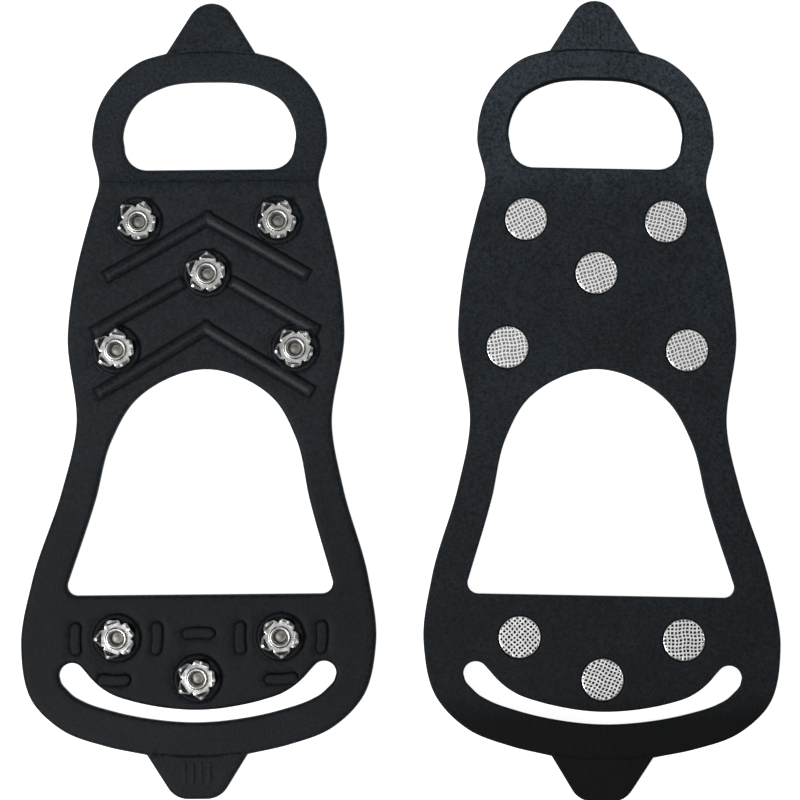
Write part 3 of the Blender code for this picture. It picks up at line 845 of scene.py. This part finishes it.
def rubber_material(name, tone, mottle, fleck, grain, gloss, shine, painted_light):
    """Moulded rubber: dark and matt, with a leathery grain, soft clouds, specks of dust and a painted light
    gradient along the sole.
    """
    material, nodes, links, shader = node_material(name)
    place = texture_place(nodes, links)
    cloud = noise(nodes, links, place, 70.0, 4.0, 0.6)
    pebble = noise(nodes, links, place, 1150.0, 3.0, 0.65)
    fine = noise(nodes, links, place, 3000.0, 2.0, 0.6)
    base = colour_ramp(nodes, links, cloud, (
        (0.32, tuple(c * (1 - mottle) for c in tone)), (0.68, tuple(c * (1 + mottle) for c in tone))))
    flecks = ranged(nodes, links, added(nodes, links, pebble, fine, 0.6), 0.55, 1.05, 1 - fleck, 1 + fleck)
    along = nodes.new("ShaderNodeSeparateXYZ")
    links.new(place, along.inputs["Vector"])
    span = ranged(nodes, links, along.outputs["Y"], -PAINTED_LIGHT_SPAN * MM, PAINTED_LIGHT_SPAN * MM, 0.0, 1.0)
    # painted light: the tone is scaled along the sole, lighter towards the toe
    light_share = colour_ramp(nodes, links, span, [
        ((y / PAINTED_LIGHT_SPAN + 1) / 2, (share / PAINTED_LIGHT_MOST,) * 3) for y, share in painted_light])
    strength = nodes.new("ShaderNodeMath")
    strength.operation = "MULTIPLY"
    links.new(light_share, strength.inputs[0])
    strength.inputs[1].default_value = PAINTED_LIGHT_MOST
    tint = multiplied(nodes, links, flecks, strength.outputs["Value"])
    shade = mixed(nodes, links, 1.0, base, tint, "MULTIPLY")
    dust = nodes.new("ShaderNodeTexVoronoi")
    dust.inputs["Scale"].default_value = 170.0
    links.new(place, dust.inputs["Vector"])
    speck = ranged(nodes, links, dust.outputs["Distance"], 0.02, 0.045, 1.0, 0.0)
    chance = ranged(nodes, links, dust.outputs["Color"], 0.86, 0.88, 0.0, 0.4)
    spot = multiplied(nodes, links, speck, chance)
    links.new(mixed(nodes, links, spot, shade, (0.14, 0.14, 0.135)), shader.inputs["Base Color"])
    links.new(ranged(nodes, links, pebble, 0.3, 0.7, gloss * 0.88, gloss * 1.15), shader.inputs["Roughness"])
    shader.inputs["Specular IOR Level"].default_value = shine
    bumped(nodes, links, shader, added(nodes, links, pebble, fine, 0.5), grain)
    return material


def steel_material(name, colour, roughness, stain, metal=1.0):
    """Plated steel with a cloudy polish, fine scratches and a little grime; a lower metal value makes a copy
    that is a painted highlight.
    """
    material, nodes, links, shader = node_material(name)
    place = texture_place(nodes, links)
    lines = texture_place(nodes, links, (1.0, 14.0, 1.0))
    cloud = noise(nodes, links, place, 650.0, 3.0)
    scratches = noise(nodes, links, lines, 1100.0, 2.0)
    shader.inputs["Metallic"].default_value = metal
    stained = colour_ramp(nodes, links, cloud, (
        (0.34, tuple(c * (1 - stain) for c in colour)), (0.6, colour)))
    links.new(stained, shader.inputs["Base Color"])
    dullness = ranged(nodes, links, cloud, 0.3, 0.7, roughness * 0.8, roughness * 1.35)
    links.new(dullness, shader.inputs["Roughness"])
    bumped(nodes, links, shader, added(nodes, links, cloud, scratches, 0.4), 0.00003)
    return material


def floor_material():
    material, nodes, links, shader = node_material("pale_floor")
    shader.inputs["Base Color"].default_value = (0.93, 0.93, 0.93, 1.0)
    shader.inputs["Roughness"].default_value = 0.9
    shader.inputs["Specular IOR Level"].default_value = 0.1
    shader.inputs["Emission Color"].default_value = (1.0, 1.0, 1.0, 1.0)
    shader.inputs["Emission Strength"].default_value = 0.85
    return material


# -------- metal pieces

def lathe(work, profile, steps, slots):
    """Rings of vertices turned about Z; a profile point on the axis becomes a single vertex."""
    rings = []
    for radius, height in profile:
        if radius == 0.0:
            rings.append([work.verts.new((0.0, 0.0, height * MM))])
        else:
            spots = circle((0.0, 0.0), radius, steps)
            rings.append([work.verts.new((x * MM, y * MM, height * MM)) for x, y in spots])
    for a, b, slot in zip(rings, rings[1:], slots):
        for i in range(steps):
            j = (i + 1) % steps
            corners = (a[0], b[j], b[i]) if len(a) == 1 else (a[i], a[j], b[j], b[i])
            work.faces.new(corners).material_index = slot
    return rings


def finished(mesh, work, angle=40.0):
    bmesh.ops.recalc_face_normals(work, faces=work.faces)
    work.to_mesh(mesh)
    work.free()
    mesh.shade_smooth()
    mesh.set_sharp_from_angle(angle=math.radians(angle))
    return mesh


KNURL_PITCH = 1.08
KNURL_DEPTH = 0.26
KNURL_RADIUS = 5.8
PIT_EDGE = 0.33
RIVET_STEPS = 72


def knurl_points():
    """Points in rows that follow the edges of the square pits."""
    marks = np.array((-0.32, -0.2, 0.2, 0.32, 0.5))
    steps = (np.arange(-6, 7)[:, None] + marks).ravel() * KNURL_PITCH
    return np.stack(np.meshgrid(steps, steps), -1).reshape(-1, 2)


def knurl_depth(points, seed):
    """Rows of square pits, some deeper than others."""
    u, v = np.abs((points / KNURL_PITCH + 0.5) % 1.0 - 0.5).T
    x, y = points[:, 0], points[:, 1]
    deep = 1 - ramp(np.maximum(u, v), 0.21, 0.31)
    fade = ramp(np.hypot(x, y), KNURL_RADIUS, KNURL_RADIUS - 0.3)
    vary = 0.8 + 0.2 * np.sin(2.3 * x + seed) * np.sin(1.9 * y - seed)
    return deep * KNURL_DEPTH * vary * fade


def wandered(points, seed):
    """The points moved a little off their rows, as a worn tool leaves them; the rim stays."""
    x, y = points[:, 0], points[:, 1]
    fade = ramp(np.hypot(x, y), KNURL_RADIUS, KNURL_RADIUS - 1.2)
    reach = (0.10 + 0.10 * np.exp(-(x ** 2 + y ** 2) / 8.0)) * fade
    u = x + reach * np.sin(1.3 * y + seed) + 0.05 * fade * np.sin(2.9 * x + 2.0 * seed)
    v = y + reach * np.sin(1.1 * x + 1.7 * seed) + 0.05 * fade * np.sin(3.1 * y + seed)
    return np.stack([u, v], 1)


BRIGHT, PITS, BORE_END, BORE_WALL, LIP_SHADE = 0, 1, 2, 3, 4


def rivet_mesh(seed, pull):
    """A rivet with a knurled head, a hollow shank, a bore a little askew and a lip over the crown."""
    profile = (
        (0.0, 4.22), (0.8, 4.19), (1.3, 4.08), (1.5, 4.1), (1.66, 4.3), (1.8, 4.9), (1.93, 5.5),
        (2.06, 5.7), (2.24, 5.86), (2.46, 5.97), (2.7, 6.0), (2.92, 5.94), (3.08, 5.8), (3.14, 5.62),
        (3.2, 5.52), (3.34, 5.5), (3.36, 5.44), (2.6, 5.42),
        (SHANK_RADIUS, 5.4), (SHANK_RADIUS, HEAD_TOP + 0.15), (SHANK_RADIUS + 0.15, HEAD_TOP),
        (HEAD_RADIUS - 0.15, HEAD_TOP), (HEAD_RADIUS, HEAD_TOP - 0.15), (HEAD_RADIUS, HEAD_SUNK + 0.34),
        (HEAD_RADIUS - 0.1, HEAD_SUNK + 0.1), (KNURL_RADIUS, HEAD_SUNK),
    )
    # painted shade: the bore's end and wall, the lip, the gap under the lip and the head's rim roll take
    # darker copies of the rivet steel
    slots = [BORE_END] * 3 + [BORE_WALL] * 3 + [LIP_SHADE] * 12 + [BRIGHT] * 5 + [LIP_SHADE] * 2
    work = bmesh.new()
    rings = lathe(work, profile, RIVET_STEPS, slots)
    for ring, (_, height) in zip(rings, profile[:9]):
        drop = (profile[9][1] - height) / (STUD_TOP - PLATE_MIDDLE)
        for vert in ring:
            vert.co -= Vector((pull[0], pull[1], 0.0)) * drop * MM
    rim = circle((0.0, 0.0), KNURL_RADIUS, RIVET_STEPS)
    points, triangles = face_sheet([rim], [(knurl_points(), 0.1)])
    heights = HEAD_SUNK + knurl_depth(points, seed)
    pitted = np.abs((points / KNURL_PITCH + 0.5) % 1.0 - 0.5).max(1) < PIT_EDGE
    verts = list(rings[-1])
    for (x, y), z in zip(wandered(points, seed)[RIVET_STEPS:], heights[RIVET_STEPS:]):
        verts.append(work.verts.new((x * MM, y * MM, z * MM)))
    for face in triangles:
        made = work.faces.new([verts[i] for i in face])
        # painted shade: the deep faces of the pits take a darker steel
        if pitted[face].all() and heights[face].max() > HEAD_SUNK + 0.1:
            made.material_index = PITS
    mesh = bpy.data.meshes.new("rivet")
    return finished(mesh, work)


CROWN_HOLE = 2.5
PLATE_MIDDLE = 4.9
PLATE_THICKNESS = 0.8
BEND_START = 4.2
BEND_RADIUS = 0.5
TOOTH_LEAN = 77.0
STUD_TOP = 8.12
TOOTH_SHAPE = ((3.32, 2.41), (4.4, 2.3), (4.54, 2.12), (4.8, 1.76), (7.86, 0.32))
# Crown slots: the plate, the flaps in painted dark reflection, and the tips and cut edges in painted
# highlight.
PLATE, FLAP_SHADE, EDGE_HIGHLIGHT = 0, 1, 2
TEETH = 5


def bent(s, t):
    """A point of the flat stamping after its tooth is bent up."""
    lean = math.radians(TOOTH_LEAN)
    turn = min(max(s - BEND_START, 0.0) / BEND_RADIUS, lean)
    past = max(s - BEND_START - BEND_RADIUS * lean, 0.0)
    x = min(s, BEND_START) + BEND_RADIUS * math.sin(turn) + past * math.cos(lean)
    z = PLATE_MIDDLE + BEND_RADIUS * (1 - math.cos(turn)) + past * math.sin(lean)
    return x, t, z


def crown_mesh(materials, pull):
    """A stamped plate with its rim bent up into five teeth, all pulled a little sideways by the crimping."""
    work = bmesh.new()
    columns = np.linspace(-1.0, 1.0, 9)
    lean = math.radians(TOOTH_LEAN)
    upright = STUD_TOP - PLATE_MIDDLE - BEND_RADIUS * (1 - math.cos(lean))
    end = BEND_START + BEND_RADIUS * lean + upright / math.sin(lean)
    shape = [list(row) for row in TOOTH_SHAPE]
    shape[-1][0] = end
    stations = [3.32, 3.7, 4.2, 4.3, 4.4, 4.54, 4.67, 4.8, 4.87, 5.1, 5.8, 6.6, 7.3, end - 0.12, end]
    for tooth in range(TEETH):
        spin = Matrix.Rotation(tooth * math.tau / TEETH, 3, "Z")
        rows = []
        for share in (0.0, 0.35, 0.7):
            row = []
            for c in columns:
                turn = c * math.pi / TEETH
                start = np.array((math.cos(turn), math.sin(turn))) * CROWN_HOLE
                stop = np.array((shape[0][0], shape[0][1] * c))
                x, y = start + (stop - start) * share
                row.append(work.verts.new(spin @ Vector((x, y, PLATE_MIDDLE)) * MM))
            rows.append(row)
        for s in stations:
            half = float(np.interp(s, [r[0] for r in shape], [r[1] for r in shape]))
            if s == end:
                half *= 0.75
            rows.append([work.verts.new(spin @ Vector(bent(s, half * c)) * MM) for c in columns])
        heights = [0.0] * 3 + stations
        for low, high, s in zip(rows, rows[1:], heights):
            # painted light: dark steel on the flaps as painted reflection, bright steel on the tips as
            # painted highlight
            slot = PLATE if s < 4.5 else EDGE_HIGHLIGHT if s > end - 0.5 else FLAP_SHADE
            for i in range(len(columns) - 1):
                work.faces.new((low[i], high[i], high[i + 1], low[i + 1])).material_index = slot
    bmesh.ops.remove_doubles(work, verts=work.verts, dist=0.000005)
    for vert in work.verts:
        rise = max(vert.co.z / MM - PLATE_MIDDLE, 0.0) / (STUD_TOP - PLATE_MIDDLE)
        vert.co += Vector((pull[0], pull[1], 0.0)) * rise * MM
    bmesh.ops.recalc_face_normals(work, faces=work.faces)
    sheet = bpy.data.meshes.new("crown_sheet")
    work.to_mesh(sheet)
    work.free()
    for material in materials:
        sheet.materials.append(material)
    piece = bpy.data.objects.new("crown_sheet", sheet)
    bpy.context.scene.collection.objects.link(piece)
    plate = piece.modifiers.new("plate", "SOLIDIFY")
    plate.thickness = PLATE_THICKNESS * MM
    plate.offset = 0.0
    plate.use_even_offset = True
    # painted highlight: the plate's cut rims take the bright steel
    plate.material_offset_rim = EDGE_HIGHLIGHT
    edge = piece.modifiers.new("edge", "BEVEL")
    edge.width = 0.09 * MM
    edge.segments = 2
    edge.limit_method = "ANGLE"
    edge.angle_limit = math.radians(50.0)
    # painted highlight: the bevels take the bright steel too
    edge.material = EDGE_HIGHLIGHT
    bpy.context.view_layer.update()
    mesh = bpy.data.meshes.new_from_object(piece.evaluated_get(bpy.context.evaluated_depsgraph_get()))
    bpy.data.objects.remove(piece, do_unlink=True)
    mesh.shade_smooth()
    mesh.set_sharp_from_angle(angle=math.radians(38.0))
    return mesh


# -------- placing

def joint(name):
    return next(j for j in frame["joints"] if j["name"] == name)


def cleat_frame(side):
    """Where a sole's own frame sits in the row frame, from its fold axes."""
    toe = Vector(joint(side + "_toe_band_fold")["pos_m"])
    arch = Vector(joint(side + "_arch_fold")["pos_m"])
    forward = (toe - arch).normalized()
    up = Vector((0.0, 0.0, 1.0 if side == "left" else -1.0))
    across = forward.cross(up)
    axis_height = SHEET if side == "left" else 0.0
    origin = arch - forward * ARCH_FOLD * MM - up * axis_height * MM
    turn = Matrix((across, forward, up)).transposed()
    return Matrix.Translation(origin) @ turn.to_4x4()


def shown(name, mesh):
    piece = bpy.data.objects.new(name, mesh)
    bpy.context.scene.collection.objects.link(piece)
    return piece


# The section that each one hangs on, the fold between them and how far the bend reaches.
JOINED_TO = {
    "toe_band": ("forefoot", TOE_BAND_FOLD, 12.0),
    "toe_tab": ("toe_band", TOE_TAB_FOLD, 5.0),
    "heel": ("forefoot", ARCH_FOLD, -15.0),
    "heel_band": ("heel", HEEL_BAND_FOLD, -10.0),
    "heel_tab": ("heel_band", HEEL_TAB_FOLD, -6.0),
}


def build_section(side, name, solid, materials):
    """One rubber section as a mesh in the row frame: the forefoot hangs on its body, the sections joined to
    it stay where they are built.
    """
    vertices, faces, slots = solid
    place = cleat_frame(side)
    turn = np.array(place.to_3x3())
    spots = vertices * MM @ turn.T + np.array(place.translation)
    mesh = bpy.data.meshes.new(f"{side}_{name}_moulding")
    mesh.from_pydata(spots.tolist(), [], faces)
    work = bmesh.new()
    work.from_mesh(mesh)
    work.faces.ensure_lookup_table()
    for face, slot in zip(work.faces, slots):
        face.material_index = slot
    finished(mesh, work, 42.0)
    for material in materials:
        mesh.materials.append(material)
    piece = shown(f"{side}_{name}_moulding", mesh)
    body = f"{side}_{name}"
    if name in JOINED_TO:
        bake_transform(piece)
    else:
        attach(piece, body)
    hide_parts(body)


def build_studs(side, rivets, crowns):
    place = cleat_frame(side)
    for stud, (x, y) in STUDS.items():
        body = side + ("_forefoot" if stud in FOREFOOT_STUDS else "_heel")
        spot = place @ Matrix.Translation(Vector((x + lean_at(y), y, 0.0)) * MM)
        for kind, mesh, turn in (
                ("rivet", rivets[stud], KNURL_TURNS[stud]),
                ("crown", crowns[stud], CROWN_TURNS[side][stud])):
            piece = shown(f"{side}_{kind}_{stud}_piece", mesh)
            piece.matrix_world = spot @ Matrix.Rotation(math.radians(turn), 4, "Z")
            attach(piece, body)
            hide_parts(f"{side}_{kind}_{stud}")


def crimp_pull(stud, degrees):
    """How far crimping pulls a crown's tips sideways, in the frame of a piece turned by some degrees."""
    x, y = STUDS[stud]
    pull = np.array((0.007 * (x + lean_at(y) - 48.0), 0.0055 * y + 0.15))
    turn = math.radians(degrees)
    return np.array(((math.cos(turn), math.sin(turn)), (-math.sin(turn), math.cos(turn)))) @ pull


def build_object():
    # painted shade tones: the second is for the boss faces under the crowns, the third for the crevice bands
    bare, boss, crevice = (0.0138, 0.0180, 0.0224), (0.0045, 0.0052, 0.0060), (0.0080, 0.0096, 0.0115)
    # painted highlight tones for the rib ridges; the one for the outer ridges is weaker
    ridge_highlight_tone, weak_ridge_highlight_tone = (0.0150, 0.0190, 0.0235), (0.0142, 0.0176, 0.0216)
    rubbers = (
        rubber_material("rubber_tread_side", bare, 0.13, 0.85, 0.00009, 0.52, 0.13, TREAD_PAINTED_LIGHT),
        rubber_material("rubber_shoe_side", bare, 0.16, 0.92, 0.00014, 0.55, 0.13, SHOE_PAINTED_LIGHT),
        # painted shade: near-black rubber for the boss faces that the crowns shade
        rubber_material("rubber_boss_painted_shade", boss, 0.1, 0.2, 0.00003, 0.6, 0.13, TREAD_PAINTED_LIGHT),
        # painted highlight: lighter, shinier rubber on the rib ridges and the toe grip bars
        rubber_material("rubber_ridge_painted_highlight", ridge_highlight_tone, 0.1, 0.7, 0.00012, 0.44, 0.27, TREAD_PAINTED_LIGHT),
        # painted shade: dark rubber for the crevice bands
        rubber_material("rubber_crevice_painted_shade", crevice, 0.1, 0.3, 0.00003, 0.6, 0.08, TREAD_PAINTED_LIGHT),
        # painted light: a weaker painted highlight for the ridges on the outer side
        rubber_material("rubber_ridge_weak_painted_highlight", weak_ridge_highlight_tone, 0.1, 0.7, 0.00012, 0.48, 0.17, TREAD_PAINTED_LIGHT),
    )
    bright = steel_material("rivet_steel", (0.92, 0.92, 0.92), 0.3, 0.15)
    # painted shade for the knurl pits: near-black in the heel rivets, grey in the forefoot rivets
    dark_pits = steel_material("rivet_steel_pits_painted_shade_dark", (0.03, 0.03, 0.032), 0.5, 0.3)
    grey_pits = steel_material("rivet_steel_pits_painted_shade_grey", (0.30, 0.30, 0.305), 0.5, 0.3)
    # painted shade: dark brownish grey steel at the bore's floor and grey steel on its wall
    bore_end = steel_material("rivet_steel_bore_end_painted_shade", (0.22, 0.208, 0.188), 0.4, 0.5)
    # painted shade: a darker copy of the rivet steel for the lip, the gap under it and the head's rim roll
    lip = steel_material("rivet_steel_lip_painted_shade", (0.60, 0.60, 0.59), 0.28, 0.3)
    bore_wall = steel_material("rivet_steel_bore_wall_painted_shade", (0.42, 0.42, 0.40), 0.4, 0.4)
    plate = steel_material("crown_steel", (0.50, 0.50, 0.495), 0.26, 0.35)
    # painted reflection: dark steel on the steep flaps, standing for the dark surroundings that they mirror
    flap_shade = steel_material("crown_steel_flap_painted_reflection", (0.10, 0.10, 0.10), 0.4, 0.4)
    # painted highlight: a bright, less metallic steel for the tooth tips and cut edges
    edge_highlight = steel_material("crown_steel_painted_highlight", (0.90, 0.90, 0.90), 0.22, 0.05, 0.72)
    for name in LOOPS:
        solid = section_solid(name)
        for side in ("left", "right"):
            build_section(side, name, solid, rubbers)
    rivets = {}
    for seed, stud in enumerate(STUDS):
        rivets[stud] = rivet_mesh(float(seed), crimp_pull(stud, KNURL_TURNS[stud]))
        pits = grey_pits if stud in FOREFOOT_STUDS else dark_pits
        for material in (bright, pits, bore_end, bore_wall, lip):
            rivets[stud].materials.append(material)
    for side, turns in CROWN_TURNS.items():
        crowns = {
            stud: crown_mesh((plate, flap_shade, edge_highlight), crimp_pull(stud, turns[stud])) for stud in STUDS}
        build_studs(side, rivets, crowns)


# -------- floor, light and camera

def build_stage():
    floor_mesh = bpy.data.meshes.new("floor")
    work = bmesh.new()
    bmesh.ops.create_grid(work, x_segments=1, y_segments=1, size=3.0)
    work.to_mesh(floor_mesh)
    work.free()
    floor_mesh.materials.append(floor_material())
    floor = shown("floor", floor_mesh)
    floor.location.z = -0.00005
    world = bpy.data.worlds.new("studio")
    bpy.context.scene.world = world
    world.use_nodes = True
    background = world.node_tree.nodes["Background"]
    background.inputs["Color"].default_value = (1.0, 1.0, 1.0, 1.0)
    background.inputs["Strength"].default_value = 0.22
    for name, spot, size, power in (
            ("key_light", (-0.55, -0.31, 1.14), 0.3, 8.5),
            ("softbox", (0.0, 0.15, 1.7), 1.0, 2.2)):
        light = bpy.data.lights.new(name, "AREA")
        light.size = size
        light.energy = power
        lamp = bpy.data.objects.new(name, light)
        lamp.location = spot
        lamp.rotation_euler = (-Vector(spot)).to_track_quat("-Z", "Y").to_euler()
        bpy.context.scene.collection.objects.link(lamp)


def build_camera():
    camera = bpy.data.cameras.new("camera")
    camera.lens = 155.45
    camera.sensor_width = 36.0
    camera.clip_start = 0.01
    camera.clip_end = 20.0
    eye = bpy.data.objects.new("camera", camera)
    eye.location = (0.000085, 0.000425, 1.0)
    bpy.context.scene.collection.objects.link(eye)
    bpy.context.scene.camera = eye
    bpy.context.scene.view_settings.view_transform = "Standard"


build_object()
build_stage()
build_camera()

bpy.context.view_layer.update()
